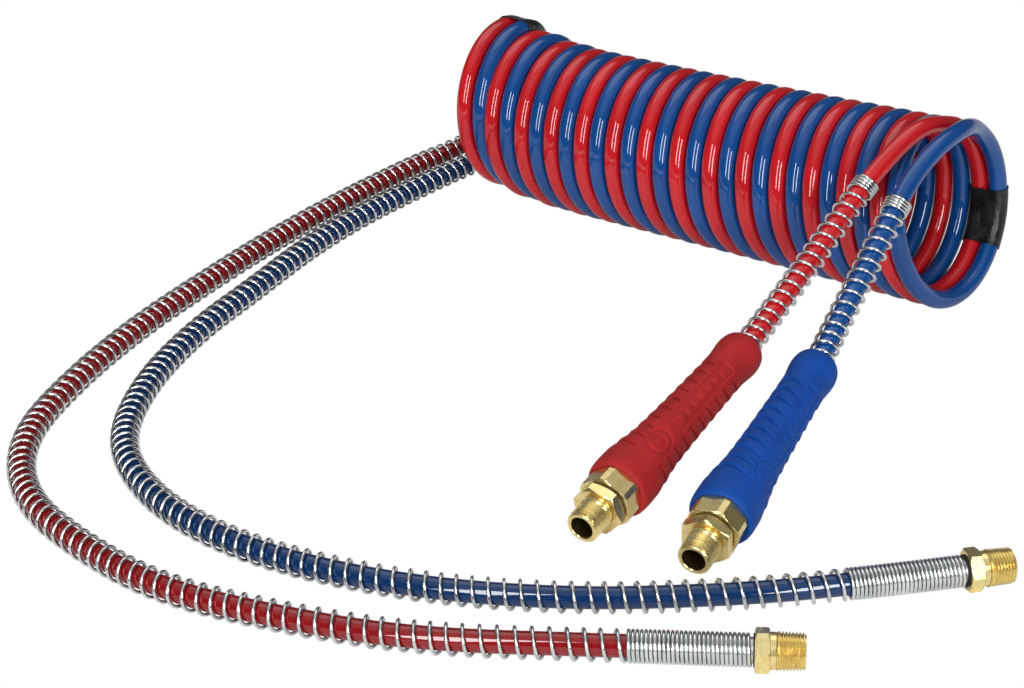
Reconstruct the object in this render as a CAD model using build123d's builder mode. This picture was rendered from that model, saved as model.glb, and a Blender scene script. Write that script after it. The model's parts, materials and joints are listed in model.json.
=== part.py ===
"""Coiled air hose: a pair of spring-guarded brake hoses wound together into one coil.

Frame: +X runs along the coil from the long leads to the short leads, +Z is up, and the origin
lies on the floor under the middle of the coil. All lengths are in millimetres.
"""
from build123d import *
import os
from math import pi, radians, tan

os.makedirs("parts", exist_ok=True)

# ---------------------------------------------------------------- driving dimensions
TUBE_OD = 12.7  # 1/2 in nylon tube
TUBE_ID = 9.5

COIL_LENGTH = 422.0  # over the end turns of both hoses
COIL_RADIUS_Y = 55.5  # from the coil's axis to the middle of the tube, sideways
COIL_RADIUS_Z = 58.5  # the same, upwards: the resting coil is slightly oval
COIL_EDGE = 5.0

WIRE = 2.2  # spring guard wire
SPRING_OR = 9.3
SPRING_IR = SPRING_OR - WIRE
SPRING_GAP = 0.05  # radial play of the sleeve inside the spring

WRAP_THICKNESS = 0.9  # heat-shrink band round the two outermost turns
WRAP_SPAN = 40.0  # angle of coil that it covers, in degrees

# long-lead fitting, measured along its axis from the end of the spring
END_HEX_AF = 22.2  # 7/8 in
END_WASHER = 0.8
END_HEX_LENGTH = 8.0
END_COLLAR_R = 10.0
END_COLLAR_LENGTH = 3.7
END_THREAD_LENGTH = 15.5
END_STEM_LENGTH = 30.0
END_SLEEVE_LENGTH = 26.0
THREAD_R = 10.5  # 1/2-14 NPT, mean major radius
THREAD_CHAMFER = 1.2
BORE_R = 6.9
STEM_BORE_R = 3.6

# swivel fitting, measured along its axis from the mouth of the grip
BODY_HEX_AF = 32.0  # the large hexagon, its corners turned down
BODY_HEX_CORNER_R = 17.7
BODY_HEX_BACK = -10.0
BODY_HEX_FRONT = 14.0
SHANK_R = 11.6
SHANK_BACK = -30.0
SWIVEL_BORE_R = 9.0
SWIVEL_PLAY = 0.05
SWIVEL_GAP = 1.4
SMALL_HEX_AF = 28.6  # 1 1/8 in
SMALL_HEX_LENGTH = 7.4
NECK_R = 9.6
NECK_LENGTH = 2.6
SWIVEL_THREAD_LENGTH = 14.5
STEM_FLOOR = 2.5  # where the swivel stem ends inside the body
O_RING_R = 0.8
O_RING_AT = 5.6
CLIP_AT = 9.6
CLIP_THICKNESS = 1.2
NUT_AF = 26.0
NUT_BACK = -48.0
NUT_FRONT = -18.0

# grip
GRIP_LENGTH = 164.5
GRIP_BORE_R = 9.9
GRIP_CHAMBER_R = 15.2
GRIP_CHAMBER_BACK = -58.0

# which runs of the routes below the springs start on, and the straight before the fitting
LONG_SPRING_RUN = 5
SHORT_SPRING_RUN = 2
END_STRAIGHT = 80.0
TUBE_STOP = 8.0  # the tube ends this far behind the grip's mouth, in the swivel body

# where the leads end
RED_END = (327.5, -475.4, 11.3)  # end of the long spring, start of the fitting
RED_END_DIR = (0.857, 0.515, 0.0)
BLUE_END = (382.9, -340.5, 11.3)
BLUE_END_DIR = (0.682, 0.731, 0.0)
RED_MOUTH = (178.8, -388.7, 20.9)  # middle of the grip's mouth
RED_MOUTH_DIR = (0.0737, -0.9872, -0.1419)
BLUE_MOUTH = (247.7, -382.7, 20.9)
BLUE_MOUTH_DIR = (0.1763, -0.9732, -0.1487)

TUBE_R = TUBE_OD / 2
COIL_MIDDLE_Z = COIL_RADIUS_Z + TUBE_R

# middle line of each long lead, from the coil's back to the bend before its fitting
RED_LONG = [
    (-203, 44, 100),
    (-209, 57, 76),
    (-222, 61, 52),
    (-238, 54, 32),
    (-254, 37, 18),
    (-266, 13, 10.7),
    (-272, -15, 9.4),
    (-273, -62, 9.4),
    (-272, -132, 9.4),
    (-266, -210, 9.4),
    (-255, -290, 9.4),
    (-242, -369, 9.4),
    (-219, -451, 9.4),
    (-186, -529, 9.4),
    (-127, -581, 9.4),
    (-56, -601, 9.4),
    (18, -609, 9.4),
    (96, -592, 9.4),
    (170, -567, 9.5),
]
BLUE_LONG = [
    (-187, 42, 103),
    (-192, 56, 79),
    (-200, 60, 55),
    (-212, 52, 34),
    (-224, 36, 19),
    (-234, 13, 10.9),
    (-239, -14, 9.4),
    (-241, -58, 9.4),
    (-242, -126, 9.4),
    (-234, -201, 9.4),
    (-217, -277, 9.4),
    (-204, -347, 9.4),
    (-176, -427, 9.4),
    (-130, -498, 9.4),
    (-64, -536, 9.4),
    (8, -549, 9.4),
    (82, -541, 9.4),
    (152, -519, 9.4),
    (219, -484, 9.4),
    (277, -441, 9.6),
]
# middle line of each short lead, from the top of the coil to just before its grip
RED_SHORT = [
    (187, 8, 128),
    (183, -22, 136),
    (179, -48, 130),
    (172, -78, 112),
    (168, -112, 92),
    (166.5, -150, 73),
    (165.5, -190, 55.5),
]
BLUE_SHORT = [
    (205, 8, 129),
    (210, -18, 137),
    (208, -50, 135),
    (205, -80, 121.5),
    (205.5, -112, 100),
    (208.5, -146, 79.5),
    (212, -188, 57.5),
]


# ---------------------------------------------------------------- helpers
def facing(origin, direction):
    """The plane across a fitting: its normal points out of the hose, its Y axis lies level."""
    out = Vector(*direction).normalized()
    level = out.cross(Vector(0, 0, 1)).normalized()
    return Plane(origin=origin, x_dir=level.cross(out), z_dir=out)


def turned(plane, outline):
    """A solid of revolution about the plane's normal, from (distance, radius) points."""
    section = Plane(origin=plane.origin, x_dir=plane.z_dir, z_dir=plane.y_dir)
    with BuildPart() as piece:
        with BuildSketch(section):
            with BuildLine():
                Polyline(*outline, close=True)
            make_face()
        revolve(axis=Axis(plane.origin, plane.z_dir))
    return piece


def point_on(plane, distance):
    """The point at a distance along the plane's normal."""
    return plane.origin + plane.z_dir * distance


def corner_radii(points):
    """The largest arc that each corner's two runs allow."""
    radii = []
    for before, corner, after in zip(points, points[1:], points[2:]):
        run_in = Vector(*corner) - Vector(*before)
        run_out = Vector(*after) - Vector(*corner)
        half_turn = radians(run_in.get_angle(run_out)) / 2
        radii.append(0.45 * min(run_in.length, run_out.length) / tan(half_turn))
    return radii


def middle(start, end):
    """The point halfway along a run."""
    return tuple((Vector(*start) + Vector(*end)) / 2)


def swept(points, radii, outer, inner):
    """A round sleeve along straight runs joined by tangent arcs."""
    with BuildPart() as sleeve:
        with BuildLine():
            path = FilletPolyline(*points, radius=radii)
        with BuildSketch(Plane(origin=path @ 0, z_dir=path % 0)):
            Circle(outer)
            Circle(inner, mode=Mode.SUBTRACT)
        sweep(path=path)
    ideal = pi * (outer**2 - inner**2) * path.length
    print(f"path {path.length:.0f} mm, volume over section x length", end=" ")
    print(f"{sleeve.part.volume / ideal:.4f}, radii", [round(radius) for radius in radii])
    return sleeve


def save(name, piece):
    """Label a finished piece and write its STEP file."""
    piece.part.label = name
    export_step(piece.part, f"parts/{name}.step")


# ---------------------------------------------------------------- the coil and its wraps
def coil():
    """Both hoses' turns as one thick oval tube."""
    with BuildPart() as turns:
        with BuildSketch(Plane.YZ.offset(-COIL_LENGTH / 2)):
            with Locations((0, COIL_MIDDLE_Z)):
                Ellipse(COIL_RADIUS_Y + TUBE_R, COIL_RADIUS_Z + TUBE_R)
                Ellipse(COIL_RADIUS_Y - TUBE_R, COIL_RADIUS_Z - TUBE_R, mode=Mode.SUBTRACT)
        extrude(amount=COIL_LENGTH)
        ends = turns.faces().filter_by(Axis.X)
        fillet(ends.edges(), COIL_EDGE)
    return turns


def wrap(at_x, middle_angle):
    """A band round the wall of the coil's last two turns. The angle runs from +Y towards +Z."""
    reach = TUBE_R + WRAP_THICKNESS
    width = 2 * TUBE_OD + 2 * WRAP_THICKNESS
    with BuildPart() as band:
        with BuildSketch(Plane.XY.offset(COIL_MIDDLE_Z)):
            with Locations((at_x, COIL_RADIUS_Y)):
                RectangleRounded(width, 2 * reach, 0.8 * reach)
        start = Axis((0, 0, COIL_MIDDLE_Z), (1, 0, 0))
        revolve(axis=start, revolution_arc=WRAP_SPAN)
    turned_band = band.part.rotate(start, middle_angle - WRAP_SPAN / 2)
    band.part = turned_band
    return band


# ---------------------------------------------------------------- long-lead end
def end_fitting(plane):
    """Brass hexagon, collar, male pipe thread and the barbed stem that holds the tube."""
    hex_front = END_WASHER + END_HEX_LENGTH
    collar_front = hex_front + END_COLLAR_LENGTH
    tip = collar_front + END_THREAD_LENGTH
    barb = TUBE_ID / 2
    outline = [
        (-END_STEM_LENGTH, STEM_BORE_R),
        (-END_STEM_LENGTH, barb - 0.6),
        (-END_STEM_LENGTH + 2, barb),
        (0, barb),
        (0, TUBE_R),
        (END_WASHER, TUBE_R),
        (END_WASHER, END_COLLAR_R),
        (collar_front, END_COLLAR_R),
        (collar_front, THREAD_R - 1.0),
        (collar_front + 0.8, THREAD_R),
        (tip - THREAD_CHAMFER, THREAD_R),
        (tip, THREAD_R - THREAD_CHAMFER),
        (tip, BORE_R),
        (tip - 12, BORE_R),
        (tip - 16, STEM_BORE_R),
    ]
    core = turned(plane, outline)
    with BuildPart() as fitting:
        add(core.part)
        with BuildSketch(plane.offset(END_WASHER)):
            RegularPolygon(END_HEX_AF / 2, 6, major_radius=False, rotation=30)
            Circle(END_COLLAR_R - 1, mode=Mode.SUBTRACT)
        extrude(amount=END_HEX_LENGTH)
    return fitting


def end_sleeve(plane):
    """Thin steel sleeve pressed round the tube over the barbs, inside the spring."""
    outer = SPRING_IR - SPRING_GAP
    length = END_SLEEVE_LENGTH
    return turned(plane, [(-length, TUBE_R), (-length, outer), (0, outer), (0, TUBE_R)])


def end_washer(plane):
    """Rubber ring between the spring and the hexagon."""
    outline = [(0, TUBE_R), (0, SPRING_OR), (END_WASHER, SPRING_OR), (END_WASHER, TUBE_R)]
    return turned(plane, outline)


# ---------------------------------------------------------------- swivel end
def swivel_body(plane):
    """The large hexagon, with the swivel's bore in front and the tube's socket behind."""
    back = SHANK_BACK
    outline = [
        (back, TUBE_R + 1.6),
        (back, SHANK_R),
        (BODY_HEX_BACK, SHANK_R),
        (BODY_HEX_BACK, SHANK_R + 2),
        (BODY_HEX_FRONT, SHANK_R + 2),
        (BODY_HEX_FRONT, SWIVEL_BORE_R),
        (CLIP_AT + CLIP_THICKNESS, SWIVEL_BORE_R),
        (CLIP_AT + CLIP_THICKNESS, SWIVEL_BORE_R + 0.6),
        (CLIP_AT, SWIVEL_BORE_R + 0.6),
        (CLIP_AT, SWIVEL_BORE_R),
        (STEM_FLOOR - 0.5, SWIVEL_BORE_R),
        (STEM_FLOOR - 0.5, TUBE_ID / 2),
        (-TUBE_STOP, TUBE_ID / 2),
        (-TUBE_STOP, TUBE_R),
        (back + 3, TUBE_R),
    ]
    core = turned(plane, outline)
    with BuildPart() as body:
        add(core.part)
        with BuildSketch(plane.offset(BODY_HEX_BACK)):
            RegularPolygon(BODY_HEX_AF / 2, 6, major_radius=False)
            Circle(BODY_HEX_CORNER_R, mode=Mode.INTERSECT)
            Circle(SHANK_R + 1, mode=Mode.SUBTRACT)
        extrude(amount=BODY_HEX_FRONT - BODY_HEX_BACK)
    return body


def swivel_nipple(plane):
    """The part that turns: journal stem, small hexagon, neck and male pipe thread."""
    stem = SWIVEL_BORE_R - SWIVEL_PLAY
    hex_back = BODY_HEX_FRONT + SWIVEL_GAP
    hex_front = hex_back + SMALL_HEX_LENGTH
    neck_front = hex_front + NECK_LENGTH
    tip = neck_front + SWIVEL_THREAD_LENGTH
    groove = O_RING_R + 0.15
    outline = [
        (STEM_FLOOR, TUBE_ID / 2),
        (STEM_FLOOR, stem),
        (O_RING_AT - groove, stem),
        (O_RING_AT - groove, stem - 2 * O_RING_R),
        (O_RING_AT + groove, stem - 2 * O_RING_R),
        (O_RING_AT + groove, stem),
        (CLIP_AT - 0.2, stem),
        (CLIP_AT - 0.2, stem - 1.1),
        (CLIP_AT + CLIP_THICKNESS + 0.2, stem - 1.1),
        (CLIP_AT + CLIP_THICKNESS + 0.2, stem),
        (hex_back, stem),
        (hex_back, NECK_R + 2),
        (hex_front, NECK_R + 2),
        (hex_front, NECK_R),
        (neck_front, NECK_R),
        (neck_front + 0.8, THREAD_R),
        (tip - THREAD_CHAMFER, THREAD_R),
        (tip, THREAD_R - THREAD_CHAMFER),
        (tip, BORE_R),
        (hex_front, BORE_R),
        (hex_front - 2.5, TUBE_ID / 2),
    ]
    core = turned(plane, outline)
    with BuildPart() as nipple:
        add(core.part)
        with BuildSketch(plane.offset(hex_back)):
            RegularPolygon(SMALL_HEX_AF / 2, 6, major_radius=False)
            Circle(NECK_R + 1, mode=Mode.SUBTRACT)
        extrude(amount=SMALL_HEX_LENGTH)
    return nipple


def o_ring(plane):
    """The swivel's seal, in the groove of the stem."""
    middle = SWIVEL_BORE_R - SWIVEL_PLAY - O_RING_R
    section = Plane(origin=plane.origin, x_dir=plane.z_dir, z_dir=plane.y_dir)
    with BuildPart() as seal:
        with BuildSketch(section):
            with Locations((O_RING_AT, middle)):
                Circle(O_RING_R)
        revolve(axis=Axis(plane.origin, plane.z_dir))
    return seal


def retaining_clip(plane):
    """The ring that holds the swivel in its body."""
    inner = SWIVEL_BORE_R - SWIVEL_PLAY - 0.85
    outer = SWIVEL_BORE_R + 0.6
    front = CLIP_AT + CLIP_THICKNESS
    return turned(plane, [(CLIP_AT, inner), (CLIP_AT, outer), (front, outer), (front, inner)])


def tube_insert(plane):
    """Brass sleeve inside the tube's end, which the ferrule squeezes the tube onto."""
    outer = TUBE_ID / 2
    return turned(plane, [(-34, STEM_BORE_R), (-34, outer), (-9, outer), (-9, STEM_BORE_R)])


def ferrule(plane):
    """Double-coned brass ring round the tube."""
    outline = [
        (SHANK_BACK - 3.4, TUBE_R),
        (SHANK_BACK - 3.4, TUBE_R + 0.6),
        (SHANK_BACK - 1.2, TUBE_R + 1.5),
        (SHANK_BACK - 0.05, TUBE_R + 1.5),
        (SHANK_BACK + 2.4, TUBE_R + 0.2),
        (SHANK_BACK + 2.4, TUBE_R),
    ]
    return turned(plane, outline)


def compression_nut(plane):
    """Hexagon nut inside the grip, which draws the ferrule against the body."""
    with BuildPart() as nut:
        with BuildSketch(plane.offset(NUT_BACK)):
            RegularPolygon(NUT_AF / 2, 6, major_radius=False)
            Circle(TUBE_R + 0.05, mode=Mode.SUBTRACT)
        extrude(amount=NUT_FRONT - NUT_BACK)
        with BuildSketch(plane.offset(NUT_FRONT)):
            Circle(SHANK_R)
        extrude(amount=SHANK_BACK - 3.6 - NUT_FRONT, mode=Mode.SUBTRACT)
    return nut


def grip(plane):
    """Rubber handle: flared mouth round the large hexagon, waisted body, collar behind."""
    back = -GRIP_LENGTH
    section = Plane(origin=plane.origin, x_dir=plane.z_dir, z_dir=plane.y_dir)
    with BuildPart() as handle:
        with BuildSketch(section):
            with BuildLine():
                Polyline((back + 1.5, GRIP_BORE_R), (back, GRIP_BORE_R + 1.5), (back, 13.6))
                Spline((back, 13.6), (back + 6, 15.4), (back + 20, 14.3), (back + 50, 14.9))
                Spline((back + 50, 14.9), (-63, 17.0), (-30, 19.6), (-12, 20.5), (-1.5, 20.2))
                Line((-1.5, 20.2), (0, 18.9))
                Polyline((0, 18.9), (0, GRIP_CHAMBER_R), (GRIP_CHAMBER_BACK, GRIP_CHAMBER_R))
                Line((GRIP_CHAMBER_BACK, GRIP_CHAMBER_R), (GRIP_CHAMBER_BACK, GRIP_BORE_R))
                Line((GRIP_CHAMBER_BACK, GRIP_BORE_R), (back + 1.5, GRIP_BORE_R))
            make_face()
        revolve(axis=Axis(plane.origin, plane.z_dir))
        with BuildSketch(plane):
            RegularPolygon(BODY_HEX_AF / 2, 6, major_radius=False)
            Circle(BODY_HEX_CORNER_R, mode=Mode.INTERSECT)
        extrude(amount=BODY_HEX_BACK, mode=Mode.SUBTRACT)
    return handle


# ---------------------------------------------------------------- one hose
def hose(colour, long_route, end, end_dir, short_route, mouth, mouth_dir):
    """All the pieces of one hose except its turns in the coil."""
    end_plane = facing(end, end_dir)
    mouth_plane = facing(mouth, mouth_dir)

    straight_start = tuple(point_on(end_plane, -END_STRAIGHT))
    long_line = long_route + [straight_start, tuple(end_plane.origin)]
    radii = corner_radii(long_line)
    save(f"{colour}_long_lead", swept(long_line, radii, TUBE_R, TUBE_ID / 2))
    first = LONG_SPRING_RUN
    spring_line = [middle(*long_line[first : first + 2])] + long_line[first + 1 :]
    save(f"{colour}_long_spring", swept(spring_line, radii[first:], SPRING_OR, SPRING_IR))
    save(f"{colour}_end_fitting", end_fitting(end_plane))
    save(f"{colour}_end_sleeve", end_sleeve(end_plane))
    save(f"{colour}_end_washer", end_washer(end_plane))

    grip_back = tuple(point_on(mouth_plane, -GRIP_LENGTH))
    in_grip = tuple(point_on(mouth_plane, -TUBE_STOP))
    spring_end = tuple(point_on(mouth_plane, NUT_BACK - 0.5))
    short_line = short_route + [grip_back, in_grip]
    radii = corner_radii(short_line)
    save(f"{colour}_short_lead", swept(short_line, radii, TUBE_R, TUBE_ID / 2))
    first = SHORT_SPRING_RUN
    guard_line = [middle(*short_line[first : first + 2])] + short_line[first + 1 : -1]
    guard_line.append(spring_end)
    save(f"{colour}_short_spring", swept(guard_line, radii[first:], SPRING_OR, SPRING_IR))
    save(f"{colour}_grip", grip(mouth_plane))
    save(f"{colour}_swivel_body", swivel_body(mouth_plane))
    save(f"{colour}_swivel_nipple", swivel_nipple(mouth_plane))
    save(f"{colour}_swivel_o_ring", o_ring(mouth_plane))
    save(f"{colour}_retaining_clip", retaining_clip(mouth_plane))
    save(f"{colour}_tube_insert", tube_insert(mouth_plane))
    save(f"{colour}_ferrule", ferrule(mouth_plane))
    save(f"{colour}_compression_nut", compression_nut(mouth_plane))


save("coil_turns", coil())
save("left_wrap", wrap(-COIL_LENGTH / 2 + TUBE_OD + 4, 68))
save("right_wrap", wrap(COIL_LENGTH / 2 - TUBE_OD, -18))
hose("red", RED_LONG, RED_END, RED_END_DIR, RED_SHORT, RED_MOUTH, RED_MOUTH_DIR)
hose("blue", BLUE_LONG, BLUE_END, BLUE_END_DIR, BLUE_SHORT, BLUE_MOUTH, BLUE_MOUTH_DIR)
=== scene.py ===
"""Looks of the coiled air hose: two nylon hoses wound together, spring guards, rubber grips and brass ends.

Everything is in metres in the CAD frame: +Z is up, the coil's axis runs along X and the grips point to -Y.
"""

import json
import math

import bmesh
import bpy
from mathutils import Matrix, Quaternion, Vector


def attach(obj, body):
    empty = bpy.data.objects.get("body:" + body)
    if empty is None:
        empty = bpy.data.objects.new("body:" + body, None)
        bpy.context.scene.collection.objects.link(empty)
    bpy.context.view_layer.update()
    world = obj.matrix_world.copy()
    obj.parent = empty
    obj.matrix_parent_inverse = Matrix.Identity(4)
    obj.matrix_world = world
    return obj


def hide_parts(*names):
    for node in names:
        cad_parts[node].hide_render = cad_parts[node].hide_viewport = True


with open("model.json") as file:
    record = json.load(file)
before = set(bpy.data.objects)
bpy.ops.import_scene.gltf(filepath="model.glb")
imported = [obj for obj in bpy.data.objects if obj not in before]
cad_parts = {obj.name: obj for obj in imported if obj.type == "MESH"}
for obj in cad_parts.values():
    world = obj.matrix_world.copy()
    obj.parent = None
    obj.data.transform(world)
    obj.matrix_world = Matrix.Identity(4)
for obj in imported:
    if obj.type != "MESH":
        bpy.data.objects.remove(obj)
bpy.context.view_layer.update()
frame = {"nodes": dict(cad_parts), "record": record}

MM = 0.001
TUBE_D = 0.0127
COLORS = ("red", "blue")


def point(x, y, z):
    """A point given in millimetres."""
    return Vector((x * MM, y * MM, z * MM))


# ---------------------------------------------------------------- camera
camera = bpy.data.objects.new("camera", bpy.data.cameras.new("camera"))
bpy.context.scene.collection.objects.link(camera)
camera.data.sensor_width = 36.0
camera.data.lens = 81.385
camera.data.clip_start = 0.05
camera.data.clip_end = 50.0
camera.location = (0.86409, -1.37164, 0.70023)
aim = Vector((-0.01855, -0.22912, 0.0))
look = (aim - camera.location).to_track_quat("-Z", "Y")
camera.rotation_mode = "QUATERNION"
camera.rotation_quaternion = look @ Quaternion((0, 0, 1), math.radians(-1.8457))
bpy.context.scene.camera = camera


# ---------------------------------------------------------------- materials
# Noise values mostly lie between these two.
NOISE_LOW = 0.3
NOISE_HIGH = 0.7
MIX_FIRST = 6
MIX_SECOND = 7
MIX_RESULT = 2
# The lengths inside the spring guards, darkened with painted shade, lie beside the coil or past its left
# end, and near the floor.
BESIDE_Y = (-0.066, -0.082)
PAST_END_X = (-0.214, -0.232)
NEAR_FLOOR_Z = (0.040, 0.024)


def new_material(name, color, metallic=0.0, roughness=0.5):
    material = bpy.data.materials.new(name)
    material.use_nodes = True
    shader = material.node_tree.nodes["Principled BSDF"]
    shader.inputs["Base Color"].default_value = (*color, 1)
    shader.inputs["Metallic"].default_value = metallic
    shader.inputs["Roughness"].default_value = roughness
    return material, material.node_tree.nodes, material.node_tree.links, shader


def noise(nodes, links, scale, detail, stretch=(1, 1, 1)):
    """Noise in object space, stretched per axis."""
    coords = nodes.new("ShaderNodeTexCoord")
    mapping = nodes.new("ShaderNodeMapping")
    mapping.inputs["Scale"].default_value = stretch
    texture = nodes.new("ShaderNodeTexNoise")
    texture.inputs["Scale"].default_value = scale
    texture.inputs["Detail"].default_value = detail
    links.new(coords.outputs["Object"], mapping.inputs["Vector"])
    links.new(mapping.outputs["Vector"], texture.inputs["Vector"])
    return texture.outputs["Fac"]


def ramp(nodes, links, source, low, high):
    """Maps a noise value to a colour between low and high."""
    node = nodes.new("ShaderNodeValToRGB")
    node.color_ramp.elements[0].position = NOISE_LOW
    node.color_ramp.elements[0].color = (*low, 1)
    node.color_ramp.elements[1].position = NOISE_HIGH
    node.color_ramp.elements[1].color = (*high, 1)
    links.new(source, node.inputs["Fac"])
    return node.outputs["Color"]


def span(nodes, links, source, low, high):
    """Maps a noise value to a number between low and high."""
    node = nodes.new("ShaderNodeMapRange")
    node.inputs["From Min"].default_value = NOISE_LOW
    node.inputs["From Max"].default_value = NOISE_HIGH
    node.inputs["To Min"].default_value = low
    node.inputs["To Max"].default_value = high
    links.new(source, node.inputs["Value"])
    return node.outputs["Result"]


def bump(nodes, links, shader, height, strength, distance):
    node = nodes.new("ShaderNodeBump")
    node.inputs["Strength"].default_value = strength
    node.inputs["Distance"].default_value = distance
    links.new(height, node.inputs["Height"])
    links.new(node.outputs["Normal"], shader.inputs["Normal"])


def limits(nodes, links, source, start, end):
    """Nought below start and one past end."""
    node = nodes.new("ShaderNodeMapRange")
    node.inputs["From Min"].default_value = start
    node.inputs["From Max"].default_value = end
    links.new(source, node.inputs["Value"])
    return node.outputs["Result"]


def combine(nodes, links, operation, first, second):
    node = nodes.new("ShaderNodeMath")
    node.operation = operation
    links.new(first, node.inputs[0])
    links.new(second, node.inputs[1])
    return node.outputs["Value"]


def shade(color, factor):
    """A colour made darker or lighter."""
    return tuple(min(1.0, c * factor) for c in color)


def nylon(name, color):
    """Glossy extruded tube: faint cloudiness, and painted shade darkening the lengths inside the spring
    guards.
    """
    material, nodes, links, shader = new_material(name, color, roughness=0.09)
    cloud = noise(nodes, links, 22, 3)
    clean = ramp(nodes, links, cloud, shade(color, 0.88), shade(color, 1.12))
    coords = nodes.new("ShaderNodeTexCoord")
    parts = nodes.new("ShaderNodeSeparateXYZ")
    links.new(coords.outputs["Object"], parts.inputs["Vector"])
    beside = limits(nodes, links, parts.outputs["Y"], *BESIDE_Y)
    past_end = limits(nodes, links, parts.outputs["X"], *PAST_END_X)
    near_floor = limits(nodes, links, parts.outputs["Z"], *NEAR_FLOOR_Z)
    outside = combine(nodes, links, "MAXIMUM", beside, past_end)
    guard_shade_mask = combine(nodes, links, "MULTIPLY", outside, near_floor)
    # Painted shade: the lengths inside the spring guards are darkened to 0.42 of the colour, standing in for
    # the shade the springs cast.
    painted_guard_shade = nodes.new("ShaderNodeMix")
    painted_guard_shade.data_type = "RGBA"
    links.new(guard_shade_mask, painted_guard_shade.inputs["Factor"])
    links.new(clean, painted_guard_shade.inputs[MIX_FIRST])
    painted_guard_shade.inputs[MIX_SECOND].default_value = (*shade(color, 0.42), 1)
    links.new(painted_guard_shade.outputs[MIX_RESULT], shader.inputs["Base Color"])
    haze = noise(nodes, links, 180, 4)
    links.new(span(nodes, links, haze, 0.035, 0.075), shader.inputs["Roughness"])
    shader.inputs["IOR"].default_value = 1.53
    return material


def rubber(name, color):
    """Matte moulded rubber with a fine grain and faint bloom."""
    material, nodes, links, shader = new_material(name, color, roughness=0.55)
    bloom = noise(nodes, links, 45, 5)
    links.new(ramp(nodes, links, bloom, shade(color, 0.88), shade(color, 1.14)), shader.inputs["Base Color"])
    grain = noise(nodes, links, 2600, 3)
    links.new(span(nodes, links, grain, 0.58, 0.72), shader.inputs["Roughness"])
    bump(nodes, links, shader, grain, 0.25, 0.0003)
    shader.inputs["Specular IOR Level"].default_value = 0.22
    return material


def plated_steel(name, low, high, dull, bright):
    """Zinc-plated wire or pressing: metal with patches of duller plating and fine drawing lines."""
    material, nodes, links, shader = new_material(name, high, metallic=1.0, roughness=bright)
    patch = noise(nodes, links, 90, 4)
    links.new(ramp(nodes, links, patch, low, high), shader.inputs["Base Color"])
    speck = noise(nodes, links, 700, 3)
    links.new(span(nodes, links, speck, bright, dull), shader.inputs["Roughness"])
    bump(nodes, links, shader, speck, 0.12, 0.0002)
    return material


def brass(name, rough):
    """Machined brass: turning lines run round the local Z axis, with slight tarnish."""
    material, nodes, links, shader = new_material(name, (0.82, 0.67, 0.30), metallic=0.93, roughness=rough)
    tarnish = noise(nodes, links, 160, 5)
    links.new(
        ramp(nodes, links, tarnish, (0.74, 0.57, 0.22), (0.88, 0.76, 0.38)),
        shader.inputs["Base Color"],
    )
    lines = noise(nodes, links, 900, 2, (0.03, 0.03, 3.0))
    links.new(span(nodes, links, lines, rough - 0.04, rough + 0.08), shader.inputs["Roughness"])
    bump(nodes, links, shader, lines, 0.05, 0.00005)
    return material


def band_plastic(name):
    """Black heat-shrink band: satin, slightly wrinkled."""
    material, nodes, links, shader = new_material(name, (0.012, 0.012, 0.013), roughness=0.35)
    wrinkle = noise(nodes, links, 140, 4)
    links.new(
        ramp(nodes, links, wrinkle, (0.003, 0.003, 0.004), (0.010, 0.010, 0.011)),
        shader.inputs["Base Color"],
    )
    links.new(span(nodes, links, wrinkle, 0.26, 0.44), shader.inputs["Roughness"])
    bump(nodes, links, shader, wrinkle, 0.5, 0.0015)
    return material


MATERIALS = {
    "red_nylon": nylon("red_nylon_gloss", (0.46, 0.008, 0.012)),
    "blue_nylon": nylon("blue_nylon_gloss", (0.002, 0.052, 0.215)),
    "red_rubber": rubber("red_rubber_matte", (0.33, 0.012, 0.013)),
    "blue_rubber": rubber("blue_rubber_matte", (0.0, 0.047, 0.27)),
    "spring_steel": plated_steel("zinc_wire", (0.56, 0.58, 0.58), (0.78, 0.80, 0.80), 0.26, 0.14),
    "zinc_steel": plated_steel("zinc_pressing", (0.50, 0.50, 0.49), (0.70, 0.70, 0.69), 0.42, 0.28),
    "brass": brass("brass_satin", 0.22),
    # Near-black brass for the bore linings: painted shade inside the bores.
    "brass_bore": plated_steel("brass_bore_painted_shade", (0.05, 0.032, 0.012), (0.16, 0.11, 0.045), 0.6, 0.45),
    "black_rubber": rubber("nitrile_black", (0.018, 0.018, 0.018)),
    "shrink_band": band_plastic("shrink_band_black"),
}


# ---------------------------------------------------------------- routes
# Each hose is one smooth line: swivel end, short lead, coil turns, long lead, plain end.
ENDS = {
    "red": (point(327.5, -475.4, 11.3), Vector((0.857, 0.515, 0)).normalized()),
    "blue": (point(382.9, -340.5, 11.3), Vector((0.682, 0.731, 0)).normalized()),
}
MOUTHS = {
    "red": (point(178.8, -388.7, 20.9), Vector((0.0737, -0.9872, -0.1419)).normalized()),
    "blue": (point(247.7, -382.7, 20.9), Vector((0.1763, -0.9732, -0.1487)).normalized()),
}
SHORT_ROUTES = {
    "red": [
        (187, 8, 128), (183, -22, 136), (179, -48, 130), (172, -78, 112),
        (168, -112, 92), (166.5, -150, 73), (165.5, -190, 55.5),
    ],
    "blue": [
        (204, 8, 130), (209, -18, 137), (208, -50, 135), (205, -80, 121.5),
        (205.5, -112, 100), (208.5, -146, 79.5), (212, -188, 57.5),
    ],
}
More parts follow.
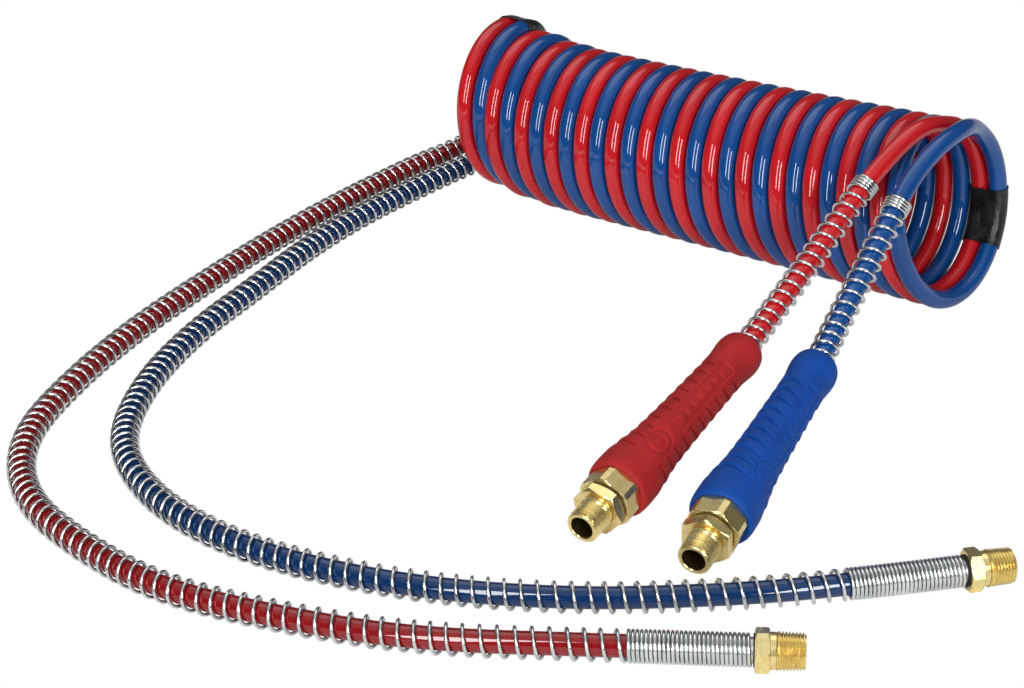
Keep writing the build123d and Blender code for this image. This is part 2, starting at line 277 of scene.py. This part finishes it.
LONG_ROUTES = {
    "red": [
        (-203, 44, 100), (-209, 57, 76), (-222, 61, 52), (-238, 54, 32), (-254, 37, 18),
        (-266, 13, 10.7), (-272, -15, 9.4), (-273, -62, 9.4), (-272, -132, 9.4),
        (-266, -210, 9.4), (-255, -290, 9.4), (-242, -369, 9.4), (-219, -451, 9.4),
        (-186, -529, 9.4), (-127, -581, 9.4), (-56, -601, 9.4), (18, -609, 9.4),
        (96, -592, 9.4), (170, -567, 9.5),
    ],
    "blue": [
        (-187, 42, 103), (-192, 56, 79), (-200, 60, 55), (-212, 52, 34), (-224, 36, 19),
        (-234, 13, 10.9), (-239, -14, 9.4), (-241, -58, 9.4), (-242, -126, 9.4),
        (-234, -201, 9.4), (-217, -277, 9.4), (-204, -347, 9.4), (-176, -427, 9.4),
        (-130, -498, 9.4), (-64, -536, 9.4), (8, -549, 9.4), (82, -541, 9.4),
        (152, -519, 9.4), (219, -484, 9.4), (277, -441, 9.6),
    ],
}
GRIP_LENGTH = 0.1645
GRIP_RUN_IN = 0.128
TUBE_STOP = 0.008
END_STRAIGHT = 0.080

TURNS_MIDDLE = 7.25
COIL_RADIUS = 0.05511
COIL_OVAL = 1.0518
COIL_PITCH = 0.02788
COIL_START_X = -0.19537
# Factors of u, u squared and so on, where u runs from -1 to 1 along the coil.
COIL_TAPER = (0.0209, 0.0262)
COIL_BOW = (-0.00108, -0.00234)
COIL_LEAN = (-0.02851, -0.08687, -0.05889)
COIL_SPACING = (0.00239, -0.0062)
PHASE = {"red": 0.0, "blue": 0.50268}
POINTS_PER_TURN = 16
OUTSET = 1.0195
FIRST_TURN = -0.09
LAST_TURN = 13.92


def smooth(value, low, high):
    """Nought up to low and one from high, with an eased step between."""
    f = min(1.0, max(0.0, (value - low) / (high - low)))
    return f * f * (3 - 2 * f)


def coil_point(color, turn):
    """Point on a hose's line in the coil. A whole number of turns is at the ring's top."""
    place = turn + PHASE[color]
    u = (place - TURNS_MIDDLE) / TURNS_MIDDLE
    radius = COIL_RADIUS * (1 + COIL_TAPER[0] * u + COIL_TAPER[1] * u * u)
    across = -radius * OUTSET * math.sin(2 * math.pi * turn)
    up = radius * OUTSET * COIL_OVAL * math.cos(2 * math.pi * turn)
    bow = COIL_BOW[0] * u**2 + COIL_BOW[1] * u**3
    skew = (2 * COIL_BOW[0] * u + 3 * COIL_BOW[1] * u**2) / (TURNS_MIDDLE * COIL_PITCH)
    lean = COIL_LEAN[0] + COIL_LEAN[1] * u + COIL_LEAN[2] * u * u
    x = COIL_START_X + COIL_PITCH * place
    x += COIL_SPACING[0] * (u * u - 1) + COIL_SPACING[1] * (u**3 - u)
    y = bow + across
    z = radius * COIL_OVAL + TUBE_D / 2 + up
    # The first turns lean out towards the long leads.
    x -= 0.0029 * max(0.0, 1 - (turn + 0.25) / 2.4) ** 2
    # Where a hose comes into or leaves the coil, it gives way to its neighbour.
    if color == "blue":
        x += 0.0037 * min(1.0, max(0.0, (turn - 13.48) / 0.44)) ** 1.6
        x += 0.0024 * max(0.0, 1 - ((turn - 0.12) / 0.55) ** 2) ** 2
        x -= 0.0010 * smooth(turn, 13.2, 13.7)
    else:
        x -= 0.0012 * max(0.0, 1 - ((turn - 1.12) / 0.45) ** 2) ** 2
        x += 0.0008 * smooth(turn, 13.2, 13.6)
    # The band draws the first turns up off the floor.
    lift = 0.0128 * max(0.0, 1 - (turn + 0.25) / 4.2) ** 3
    return Vector((x - skew * across + lean * up, y, z + lift))


def hose_points(color):
    """Control points of one hose, from its swivel to its plain end."""
    mouth, mouth_way = MOUTHS[color]
    end, end_way = ENDS[color]
    route = [mouth - mouth_way * depth for depth in (TUBE_STOP, GRIP_RUN_IN, GRIP_LENGTH)]
    route += [point(*p) for p in reversed(SHORT_ROUTES[color])]
    steps = round((LAST_TURN - FIRST_TURN) * POINTS_PER_TURN)
    for i in range(steps + 1):
        turn = LAST_TURN + (FIRST_TURN - LAST_TURN) * i / steps
        route.append(coil_point(color, turn))
    route += [point(*p) for p in LONG_ROUTES[color]]
    return route + [end - end_way * END_STRAIGHT, end]


CURVE_STEPS = 12
HOSE_SKIN_R = 0.0065


def nurbs(name, points):
    """A quadratic curve that these points control."""
    data = bpy.data.curves.new(name, "CURVE")
    data.dimensions = "3D"
    data.resolution_u = CURVE_STEPS
    spline = data.splines.new("NURBS")
    spline.points.add(len(points) - 1)
    for target, p in zip(spline.points, points):
        target.co = (*p, 1)
    spline.order_u = 3
    spline.use_endpoint_u = True
    curve = bpy.data.objects.new(name, data)
    bpy.context.scene.collection.objects.link(curve)
    return curve


def centreline(curve):
    """Points along a NURBS curve that has no bevel yet."""
    bpy.context.view_layer.update()
    graph = bpy.context.evaluated_depsgraph_get()
    mesh = bpy.data.meshes.new_from_object(curve.evaluated_get(graph))
    line = [vertex.co.copy() for vertex in mesh.vertices]
    bpy.data.meshes.remove(mesh)
    return line


class Line:
    """A polyline with distances and a frame that doesn't twist."""

    def __init__(self, points):
        self.points = points
        self.at = [0.0]
        for a, b in zip(points, points[1:]):
            self.at.append(self.at[-1] + (b - a).length)
        self.length = self.at[-1]
        self.ways = []
        for i in range(len(points)):
            a, b = points[max(0, i - 1)], points[min(len(points) - 1, i + 1)]
            self.ways.append((b - a).normalized())
        side = self.ways[0].orthogonal().normalized()
        self.sides = []
        for way in self.ways:
            side = (side - way * side.dot(way)).normalized()
            self.sides.append(side)
        self.cursor = 0

    def sample(self, distance):
        """Place, direction and side at a distance; calls go forward along the line."""
        if distance < self.at[self.cursor]:
            self.cursor = 0
        while self.cursor < len(self.at) - 2 and self.at[self.cursor + 1] < distance:
            self.cursor += 1
        i = self.cursor
        step = self.at[i + 1] - self.at[i]
        f = 0 if step < 1e-12 else (distance - self.at[i]) / step
        way = self.ways[i].lerp(self.ways[i + 1], f).normalized()
        side = self.sides[i].lerp(self.sides[i + 1], f)
        side = (side - way * side.dot(way)).normalized()
        return self.points[i].lerp(self.points[i + 1], f), way, side

    def nearest(self, target):
        i = min(range(len(self.points)), key=lambda k: (self.points[k] - target).length_squared)
        return self.at[i]


lines = {}
for color in COLORS:
    hose = nurbs(f"{color}_hose", hose_points(color))
    lines[color] = Line(centreline(hose))
    hose.data.bevel_depth = HOSE_SKIN_R
    hose.data.bevel_resolution = 10
    hose.data.use_fill_caps = True
    hose.data.materials.append(MATERIALS[f"{color}_nylon"])
    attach(hose, "root")
    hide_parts(f"{color}_long_lead", f"{color}_short_lead", "coil_turns")


# ---------------------------------------------------------------- mesh helpers
def local_frame(origin, way):
    """Local Z along way, local Y towards the ceiling."""
    side = Vector((0, 0, 1)).cross(way).normalized()
    up = way.cross(side)
    return Matrix.Translation(origin) @ Matrix((side, up, way)).transposed().to_4x4()


def mesh_piece(name, vertices, faces, body, material, node, sharp, matrix=None):
    """A piece from a face list, cleaned, with its hard edges marked."""
    mesh = bpy.data.meshes.new(name)
    mesh.from_pydata(vertices, [], faces)
    work = bmesh.new()
    work.from_mesh(mesh)
    bmesh.ops.remove_doubles(work, verts=work.verts, dist=1e-6)
    bmesh.ops.dissolve_degenerate(work, edges=work.edges, dist=1e-7)
    loose = [v for v in work.verts if not v.link_faces]
    bmesh.ops.delete(work, geom=loose, context="VERTS")
    bmesh.ops.recalc_face_normals(work, faces=work.faces)
    for face in work.faces:
        face.smooth = True
    limit = math.radians(sharp)
    for edge in work.edges:
        edge.smooth = len(edge.link_faces) != 2 or edge.calc_face_angle(0) < limit
    work.to_mesh(mesh)
    work.free()
    piece = bpy.data.objects.new(name, mesh)
    bpy.context.scene.collection.objects.link(piece)
    if matrix is not None:
        piece.matrix_world = matrix
    mesh.materials.append(material)
    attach(piece, body)
    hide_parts(node)


def grid_faces(rows, columns, closed_columns=True, closed_rows=False):
    """Quads between neighbours in a grid of vertices, which may close on itself either way."""
    faces = []
    for r in range(rows if closed_rows else rows - 1):
        for c in range(columns if closed_columns else columns - 1):
            a = r * columns + c
            b = r * columns + (c + 1) % columns
            d = ((r + 1) % rows) * columns + c
            e = ((r + 1) % rows) * columns + (c + 1) % columns
            faces.append((a, b, e, d))
    return faces


# ---------------------------------------------------------------- spring guards
WIRE_R = 0.0011
SPRING_R = 0.0083
OPEN_PITCH = 0.0093
CLOSE_PITCH = 0.00236
STEPS_PER_COIL = 24
WIRE_SIDES = 10
CLOSE_LENGTH = 0.067
GUARD_TOPS = {"red": point(170.5, -78, 110), "blue": point(205.4, -95.7, 110.8)}
GUARD_DEPTH_IN_GRIP = 0.140


def wire_spring(name, line, start, stop, pitch_at, node):
    """Round wire wound on the hose's own line from start to stop metres, with closed ends."""
    path = []
    distance, angle = start, 0.0
    while distance < stop:
        place, way, side = line.sample(distance)
        out = Quaternion(way, angle) @ side
        path.append((place + out * SPRING_R, out))
        distance += pitch_at(distance) / STEPS_PER_COIL
        angle += 2 * math.pi / STEPS_PER_COIL
    vertices = []
    for i, (place, out) in enumerate(path):
        along = (path[min(i + 1, len(path) - 1)][0] - path[max(i - 1, 0)][0]).normalized()
        out = (out - along * out.dot(along)).normalized()
        third = along.cross(out)
        for k in range(WIRE_SIDES):
            a = 2 * math.pi * k / WIRE_SIDES
            vertices.append(place + (out * math.cos(a) + third * math.sin(a)) * WIRE_R)
    faces = grid_faces(len(path), WIRE_SIDES)
    faces.append(tuple(range(WIRE_SIDES)))
    faces.append(tuple(range(len(vertices) - WIRE_SIDES, len(vertices))))
    mesh_piece(name, vertices, faces, "root", MATERIALS["spring_steel"], node, sharp=60)


for color in COLORS:
    line = lines[color]
    begin = line.nearest(point(*LONG_ROUTES[color][4]))
    finish = line.length - 0.0012

    def long_pitch(distance, finish=finish):
        wander = 1 + 0.035 * math.sin(distance * 61) + 0.02 * math.sin(distance * 143)
        close = smooth(distance, finish - CLOSE_LENGTH - 0.0015, finish - CLOSE_LENGTH + 0.0015)
        return OPEN_PITCH * wander * (1 - close) + CLOSE_PITCH * close

    wire_spring(f"{color}_long_guard", line, begin, finish, long_pitch, f"{color}_long_spring")
    top = line.nearest(GUARD_TOPS[color])
    inner = line.nearest(MOUTHS[color][0] - MOUTHS[color][1] * GUARD_DEPTH_IN_GRIP)

    def short_pitch(distance, top=top):
        wander = 1 + 0.04 * math.sin(distance * 97)
        close = 1 - smooth(distance, top - 0.0105, top - 0.0080)
        return OPEN_PITCH * wander * close + CLOSE_PITCH * (1 - close)

    wire_spring(f"{color}_short_guard", line, inner, top, short_pitch, f"{color}_short_spring")


# ---------------------------------------------------------------- turned and hexagonal pieces
# From here to the bands, sizes along and across a piece are in millimetres.
FACE_STEPS = 9
CORNER_STEPS = 3
CHAMFER_STEPS = 8
CHAMFER_SLOPE = math.tan(math.radians(60))
ROUND = [2 * math.pi * i / 72 for i in range(73)]


def angles_for(flat, corner, rotation):
    """Column angles that hit every corner of a hexagon, whose corners may be turned down flat."""
    half = math.pi / 6
    if corner:
        half = math.atan((corner - flat * math.cos(math.pi / 6)) / (flat * 0.5))
    angles = []
    for side in range(6):
        middle_angle = rotation + side * math.pi / 3
        angles += [middle_angle + half * (2 * i / FACE_STEPS - 1) for i in range(FACE_STEPS)]
        gap = math.pi / 3 - 2 * half
        if corner:
            angles += [middle_angle + half + gap * i / CORNER_STEPS for i in range(CORNER_STEPS)]
    return angles + [angles[0] + 2 * math.pi]


def hexagon(flat, corner, rotation):
    """Radius of a hexagon with inscribed radius flat, at an angle."""

    def radius(angle):
        a = (angle - rotation + math.pi / 6) % (math.pi / 3) - math.pi / 6
        r = flat / math.cos(a)
        return min(r, corner / math.cos(math.pi / 6 - abs(a))) if corner else r

    return radius


def hex_rows(radius, back, front, low_limit, high_limit, inner_back, inner_front, corner):
    """Rows over a hexagon between back and front, with its corners chamfered by a cone at each limit."""
    rows = [(back, inner_back)]
    for i in range(CHAMFER_STEPS + 1):
        z = back + (corner - low_limit) / CHAMFER_SLOPE * i / CHAMFER_STEPS
        rows.append((z, lambda angle, z=z: min(radius(angle), low_limit + (z - back) * CHAMFER_SLOPE)))
    for i in range(CHAMFER_STEPS + 1):
        z = front - (corner - high_limit) / CHAMFER_SLOPE * (1 - i / CHAMFER_STEPS)
        rows.append((z, lambda angle, z=z: min(radius(angle), high_limit + (front - z) * CHAMFER_SLOPE)))
    rows.append((front, inner_front))
    return rows


THREAD_PITCH = 1.814
THREAD_DEPTH = 1.3
THREAD_TAPER = 1 / 32
THREAD_FRONT_R = 10.25
THREAD_CHAMFER = 1.1
# Shares of one pitch: the root's end, the crest's start and end, and the length of a flank.
ROOT_END = 0.08
CREST_START = 0.48
CREST_END = 0.60
FLANK = 0.40


def thread_rows(back, front):
    """Rows of a right-handed tapered pipe thread that follow its helix."""

    def surface(z, angle):
        phase = ((z - back) / THREAD_PITCH - angle / (2 * math.pi)) % 1.0
        rise = min(1.0, max(0.0, (phase - ROOT_END) / FLANK))
        rise -= min(1.0, max(0.0, (phase - CREST_END) / FLANK))
        crest = THREAD_FRONT_R + (front - z) * THREAD_TAPER
        depth = THREAD_DEPTH * min(1.0, 0.25 + (z - back) / 2.5)
        return min(crest - depth * (1 - rise), THREAD_FRONT_R - THREAD_CHAMFER + front - z)

    rows = []
    for n in range(-2, int((front - back) / THREAD_PITCH) + 2):
        for phase in (0.0, ROOT_END, 0.28, CREST_START, CREST_END, 0.80):

            def row(angle, start=back + (n + phase) * THREAD_PITCH):
                z = min(front, max(back, start + angle / (2 * math.pi) * THREAD_PITCH))
                return z, surface(z, angle)

            rows.append(row)
    return rows


def turned_piece(name, angles, rows, matrix, body, slot_name, node, sharp=24, material=None):
    """A closed piece from rows about the local Z axis."""
    surface = MATERIALS[material or slot_name]
    vertices = []
    for row in rows:
        for angle in angles:
            z, r = row(angle) if callable(row) else row
            if callable(r):
                r = r(angle)
            vertices.append(Vector((r * math.cos(angle), r * math.sin(angle), z)) * MM)
    faces = grid_faces(len(rows), len(angles), closed_columns=False, closed_rows=True)
    mesh_piece(name, vertices, faces, body, surface, node, sharp, matrix)


def bore_lining(name, matrix, body, node, front, back):
    """Dark sleeve inside a fitting's bore, closed by a cap at its back end: painted shade in the bore."""
    rows = [(front, 7.22), (front, 7.1), (back + 1, 7.1), (back, 6.2), (back - 0.4, 0.2)]
    rows += [(back - 0.8, 0.2), (back - 0.6, 7.0), (back + 0.2, 7.22)]
    turned_piece(name, ROUND, rows, matrix, body, "brass", node, material="brass_bore")


def end_pieces(color, rotation):
    """Washer, hexagon, collar, pipe thread and stem of a plain end."""
    matrix = local_frame(*ENDS[color])
    flat = 11.1
    angles = angles_for(flat, None, rotation)
    hexa = hexagon(flat, None, rotation)
    rows = [(-30, 3.6), (-30, 4.1), (-28, 4.75), (0, 4.75), (0, 6.35), (0.8, 6.35)]
    rows += hex_rows(hexa, 0.8, 8.8, 11.3, 11.3, 7.0, 9.9, 12.82)
    rows += [(8.9, 9.9), (9.1, 10.1), (12.1, 10.1), (12.4, 9.9), (12.5, 9.3)]
    rows += thread_rows(12.5, 28.0)
    rows += [(28.0, 7.6), (27.6, 7.25), (13.0, 7.25), (12.0, 3.6)]
    turned_piece(f"{color}_end_hexagon", angles, rows, matrix, "root", "brass", f"{color}_end_fitting")
    bore_lining(f"{color}_end_bore", matrix, "root", f"{color}_end_fitting", 27.3, 13.9)
    washer = [(0, 6.6), (0, 9.1), (0.12, 9.3), (0.66, 9.3), (0.78, 9.1), (0.78, 6.6)]
    turned_piece(f"{color}_end_gasket", ROUND, washer, matrix, "root", "black_rubber", f"{color}_end_washer")


def swivel_pieces(color, big_rotation, small_rotation):
    """The large hexagon in the grip's mouth, and the small hexagon and thread that turn in it."""
    matrix = local_frame(*MOUTHS[color])
    flat, corner = 16.0, 17.4
    angles = angles_for(flat, corner, big_rotation)
    hexa = hexagon(flat, corner, big_rotation)
    rows = [(-27, 6.35), (-30, 7.95), (-30, 11.6), (-10, 11.6)]
    rows += hex_rows(hexa, -10, 14, 16.2, 16.1, 11.8, 12.4, 17.5)
    rows += [(13.7, 11.9), (13.7, 9.4), (13.4, 9.0), (10.8, 9.0), (10.8, 9.6), (9.6, 9.6), (9.6, 9.0)]
    rows += [(2.0, 9.0), (2.0, 4.75), (-8, 4.75), (-8, 6.35)]
    turned_piece(f"{color}_large_hexagon", angles, rows, matrix, "root", "brass", f"{color}_swivel_body")

    flat = 14.3
    angles = angles_for(flat, None, small_rotation)
    hexa = hexagon(flat, None, small_rotation)
    rows = [(2.5, 4.75), (2.5, 8.9), (4.6, 8.9), (4.6, 7.35), (6.6, 7.35), (6.6, 8.9)]
    rows += [(9.4, 8.9), (9.4, 7.85), (11.0, 7.85), (11.0, 8.9)]
    rows += hex_rows(hexa, 15.4, 22.8, 14.6, 14.4, 8.9, 10.4, 16.5)
    rows += [(23.1, 9.8), (23.4, 9.6), (25.1, 9.6), (25.4, 9.4)]
    rows += thread_rows(25.4, 39.9)
    rows += [(39.9, 7.6), (39.5, 7.25), (21.0, 7.25), (20.0, 4.75)]
    nipple = f"{color}_swivel_nipple"
    turned_piece(f"{color}_small_hexagon", angles, rows, matrix, f"{color}_swivel", "brass", nipple)
    bore_lining(f"{color}_swivel_bore", matrix, f"{color}_swivel", nipple, 39.2, 21.9)


# How far each hexagon is turned about its own axis, in degrees.
END_TURN = {"red": 12, "blue": 24}
LARGE_TURN = {"red": -0.5, "blue": 39}
SMALL_TURN = {"red": 16, "blue": 57}
for color in COLORS:
    end_pieces(color, math.radians(END_TURN[color]))
for color in COLORS:
    swivel_pieces(color, math.radians(LARGE_TURN[color]), math.radians(SMALL_TURN[color]))

# ---------------------------------------------------------------- rubber grips
# Distance from the mouth and outer radius, in millimetres.
GRIP_PROFILE = [
    (-164.5, 12.2), (-163.2, 14.0), (-158.7, 15.2), (-153.6, 15.4), (-147.0, 14.8), (-140.3, 14.2),
    (-125.3, 14.5), (-100.2, 15.1), (-75.2, 15.8), (-50.1, 16.9), (-40.1, 17.8), (-31.7, 19.0),
    (-23.4, 20.0), (-15.0, 20.4), (-6.7, 20.4), (-2.5, 20.0), (-0.7, 19.2), (0.0, 18.4),
]
GRIP_COLUMNS = 180
GRIP_STEP = 0.55
RIDGE_BACK = -131
RIDGE_PITCH = 11.2
RIDGE_DEPTH = 2.1
RIDGE_WIDTH = 0.8
PANEL_BACK = -130
PANEL_FRONT = -58.8
PANEL_TURN = {"red": 54, "blue": 31}
BAR_BACK = -122.5
BAR_PITCH = 9.2
BAR_COUNT = 7
RING_CENTRE = -38


def grip_profile(z):
    """Smooth outer radius at a distance from the mouth."""
    knots = GRIP_PROFILE
    i = 0
    while i < len(knots) - 2 and knots[i + 1][0] < z:
        i += 1
    (z0, r0), (z1, r1) = knots[i], knots[i + 1]
    zb, rb = knots[max(0, i - 1)]
    za, ra = knots[min(len(knots) - 1, i + 2)]
    m0 = (r1 - rb) / (z1 - zb) * (z1 - z0)
    m1 = (ra - r0) / (za - z0) * (z1 - z0)
    t = (z - z0) / (z1 - z0)
    a = (1 + 2 * t) * (1 - t) ** 2 * r0 + t * (1 - t) ** 2 * m0
    return a + t * t * (3 - 2 * t) * r1 + t * t * (t - 1) * m1


def bell(value, width):
    """One at nought, and falling away on both sides."""
    return math.exp(-((value / width) ** 2))


def scallops(turn, z):
    """Arched ridges that overlap like scales on both flanks of the grip; turn is in degrees."""
    edge = smooth(64 - abs(turn), 0, 10)
    if edge <= 0:
        return 0.0
    arch = 0.155 * (math.sqrt(turn * turn + 180) - 13.4)
    place = (z - arch - RIDGE_BACK) / RIDGE_PITCH
    if place < -0.3 or place > 10.0:
        return 0.0
    past_ridge = (place % 1.0) * RIDGE_PITCH
    relief = -RIDGE_DEPTH * bell(past_ridge, RIDGE_WIDTH) if place > -0.08 else 0.0
    if place < 9.2:
        relief -= RIDGE_DEPTH * bell(past_ridge - RIDGE_PITCH, RIDGE_WIDTH)
    if place > 0:
        relief -= 0.95 * max(0.0, 1 - past_ridge / 9.5) * smooth(58 - abs(turn), 0, 22)
    return relief * edge


def panel(turn, z):
    """Sunk panel with a row of plain raised bars, and a plain ring nearer the mouth."""
    if abs(turn) > 45 or z < -136 or z > -20:
        return 0.0
    inside = smooth(19 - abs(turn), 0, 1.6)
    inside *= smooth(z - PANEL_BACK, -0.6, 0.6) * smooth(PANEL_FRONT - z, -0.6, 0.6)
    relief = -0.45 * inside
    if PANEL_BACK < z < PANEL_FRONT:
        relief -= 0.7 * bell(abs(turn) - 19, 1.7)
    if abs(turn) < 20:
        relief -= 0.7 * (bell(z - PANEL_BACK, 0.6) + bell(z - PANEL_FRONT, 0.6))
    for i in range(BAR_COUNT):
        at = BAR_BACK + i * BAR_PITCH
        bar = smooth(3.0 - abs(z - at), 0, 0.7) * smooth(9.5 - abs(turn), 0, 2)
        relief += 0.7 * bar
    relief -= 0.9 * bell(math.hypot((z - RING_CENTRE) / 10.5, turn / 27.0) - 1, 0.09)
    relief -= 0.8 * bell(math.hypot((z - RING_CENTRE) / 4.5, turn / 11.0) - 1, 0.2)
    return relief


def grip_piece(color, panel_angle, big_rotation):
    """Moulded rubber handle with its flared mouth round the large hexagon."""
    matrix = local_frame(*MOUTHS[color])
    rows = []
    back = GRIP_PROFILE[0][0]
    count = int(-back / GRIP_STEP)
    for i in range(count + 1):
        z = back * (1 - i / count)
        base = grip_profile(z)

        def row(angle, z=z, base=base):
            turn = (math.degrees(angle) - panel_angle + 90) % 180 - 90
            flank = turn - 90 if turn > 0 else turn + 90
            return z, base + scallops(flank, z) + panel(turn, z)

        rows.append(row)
    hexa = hexagon(16.1, 17.5, big_rotation)
    rows += [(0.15, 18.1), (0.0, 17.85)]
    rows += [(-0.5, hexa), (-1.2, hexa), (-10, hexa), (-10, 15.2)]
    rows += [(-58, 15.2), (-58, 9.9), (-110, 9.9), (back + 2, 9.9), (back + 0.4, 10.6), (back, 11.6)]
    angles = [2 * math.pi * i / GRIP_COLUMNS for i in range(GRIP_COLUMNS + 1)]
    name = f"{color}_handle"
    turned_piece(name, angles, rows, matrix, "root", f"{color}_rubber", f"{color}_grip", sharp=50)


for color in COLORS:
    grip_piece(color, PANEL_TURN[color], math.radians(LARGE_TURN[color]))


# ---------------------------------------------------------------- heat-shrink bands
BAND_STATIONS = 36
BAND_COLUMNS = 72
BAND_OUTER_R = 7.35
BAND_INNER_R = 6.55
BAND_PATH_RADIUS = COIL_RADIUS + 0.0012
# How quickly the band's section goes over from one tube's arc to the other's.
BAND_TURNOVER = 3.2


def band(name, start_turn, stop_turn, node):
    """Shrunk sleeve round one turn of both hoses, drawn tight over each tube."""
    starts = {color: lines[color].nearest(coil_point(color, start_turn)) for color in COLORS}
    length = (start_turn - stop_turn) * 2 * math.pi * BAND_PATH_RADIUS
    outer, inner = [], []
    for i in range(BAND_STATIONS + 1):
        f = i / BAND_STATIONS
        red_at, way, _ = lines["red"].sample(starts["red"] + f * length)
        blue_at, blue_way, _ = lines["blue"].sample(starts["blue"] + f * length)
        across = blue_at - red_at
        half = across.length / 2
        along = (way + blue_way).normalized()
        across = (across - along * across.dot(along)).normalized()
        up = along.cross(across)
        middle_point = (red_at + blue_at) / 2
        lip = 0.25 * (bell(f, 0.03) + bell(1 - f, 0.03))
        for ring, radius in ((outer, BAND_OUTER_R + lip), (inner, BAND_INNER_R)):
            for k in range(BAND_COLUMNS):
                a = 2 * math.pi * k / BAND_COLUMNS
                c, w = math.cos(a), math.sin(a)
                shift = half * (1 if c > 0 else -1) * min(1.0, abs(c) * BAND_TURNOVER)
                sag = wrinkle = 0.0
                if ring is outer:
                    sag = 0.9 * max(0.0, 1 - abs(c) * BAND_TURNOVER)
                    wrinkle = 0.06 * math.sin(9 * a + 40 * f) * math.sin(17 * f + 2 * a)
                r = (radius + wrinkle) * MM
                rise = r * w - math.copysign(sag * MM, w)
                ring.append(middle_point + across * (shift + r * c) + up * rise)
    vertices = list(outer)
    for i in reversed(range(BAND_STATIONS + 1)):
        vertices += inner[i * BAND_COLUMNS : (i + 1) * BAND_COLUMNS]
    faces = grid_faces(2 * (BAND_STATIONS + 1), BAND_COLUMNS, closed_rows=True)
    mesh_piece(name, vertices, faces, "root", MATERIALS["shrink_band"], node, sharp=50)


band("left_band", -0.022, -0.128, "left_wrap")
band("right_band", 13.756, 13.634, "right_wrap")

# ---------------------------------------------------------------- light and floor
def area_light(name, place, target, width, height, power, upright=(0, 0, 1)):
    """A softbox whose height runs along upright."""
    data = bpy.data.lights.new(name, "AREA")
    data.shape = "RECTANGLE"
    data.size = width
    data.size_y = height
    data.energy = power
    lamp = bpy.data.objects.new(name, data)
    bpy.context.scene.collection.objects.link(lamp)
    back = (Vector(place) - Vector(target)).normalized()
    side = Vector(upright).cross(back).normalized()
    turned = Matrix((side, back.cross(side), back)).transposed().to_4x4()
    lamp.matrix_world = Matrix.Translation(place) @ turned


bpy.context.scene.view_settings.view_transform = "Standard"

COIL_MIDDLE = (0.0, 0.0, 0.06)
STRIP_UPRIGHT = (0.0, 0.50, 0.85)
area_light("strip_right", (1.98, -1.50, 0.95), COIL_MIDDLE, 0.42, 1.30, 30, STRIP_UPRIGHT)
area_light("strip_left", (0.55, -2.22, 1.22), COIL_MIDDLE, 0.42, 1.50, 30, STRIP_UPRIGHT)
area_light("over", (-0.5, 0.6, 2.2), (0.0, -0.2, 0.0), 2.4, 1.8, 12)


def studio_world():
    """White background, soft light for the surfaces, and a dim room with a pale ceiling in reflections."""
    world = bpy.data.worlds.new("studio")
    bpy.context.scene.world = world
    world.use_nodes = True
    nodes, links = world.node_tree.nodes, world.node_tree.links
    path = nodes.new("ShaderNodeLightPath")
    coords = nodes.new("ShaderNodeTexCoord")
    parts = nodes.new("ShaderNodeSeparateXYZ")
    links.new(coords.outputs["Generated"], parts.inputs["Vector"])
    ceiling = nodes.new("ShaderNodeMapRange")
    ceiling.interpolation_type = "SMOOTHSTEP"
    ceiling.inputs["From Min"].default_value = 0.55
    ceiling.inputs["From Max"].default_value = 0.92
    ceiling.inputs["To Min"].default_value = 0.10
    ceiling.inputs["To Max"].default_value = 0.70
    links.new(parts.outputs["Z"], ceiling.inputs["Value"])
    result = nodes["Background"]
    result.inputs["Color"].default_value = (1, 1, 1, 1)
    result.inputs["Strength"].default_value = 0.40
    for ray, strength in (("Is Glossy Ray", None), ("Is Camera Ray", 1.0)):
        layer = nodes.new("ShaderNodeBackground")
        layer.inputs["Color"].default_value = (1, 1, 1, 1)
        if strength is None:
            links.new(ceiling.outputs["Result"], layer.inputs["Strength"])
        else:
            layer.inputs["Strength"].default_value = strength
        mix = nodes.new("ShaderNodeMixShader")
        links.new(path.outputs[ray], mix.inputs["Fac"])
        links.new(result.outputs[0], mix.inputs[1])
        links.new(layer.outputs["Background"], mix.inputs[2])
        result = mix
    links.new(result.outputs["Shader"], nodes["World Output"].inputs["Surface"])


def studio_floor():
    """White sweep: the camera sees it evenly lit, the hoses see a lit white table."""
    mesh = bpy.data.meshes.new("floor")
    mesh.from_pydata([(-30, -30, 0), (30, -30, 0), (30, 30, 0), (-30, 30, 0)], [], [(0, 1, 2, 3)])
    floor = bpy.data.objects.new("floor", mesh)
    bpy.context.scene.collection.objects.link(floor)
    material, nodes, links, shader = new_material("studio_floor", (0.80, 0.80, 0.80), roughness=0.9)
    seen = nodes.new("ShaderNodeEmission")
    seen.inputs["Color"].default_value = (1, 1, 1, 1)
    seen.inputs["Strength"].default_value = 1.0
    path = nodes.new("ShaderNodeLightPath")
    mix = nodes.new("ShaderNodeMixShader")
    links.new(path.outputs["Is Camera Ray"], mix.inputs["Fac"])
    links.new(shader.outputs["BSDF"], mix.inputs[1])
    links.new(seen.outputs["Emission"], mix.inputs[2])
    links.new(mix.outputs["Shader"], nodes["Material Output"].inputs["Surface"])
    mesh.materials.append(material)


studio_world()
studio_floor()

# ---------------------------------------------------------------- carried-over parts
for item in frame["record"]["subparts"]:
    obj = frame["nodes"][item["node"]]
    obj.data.materials.clear()
    obj.data.materials.append(MATERIALS[item["material_slot"]])
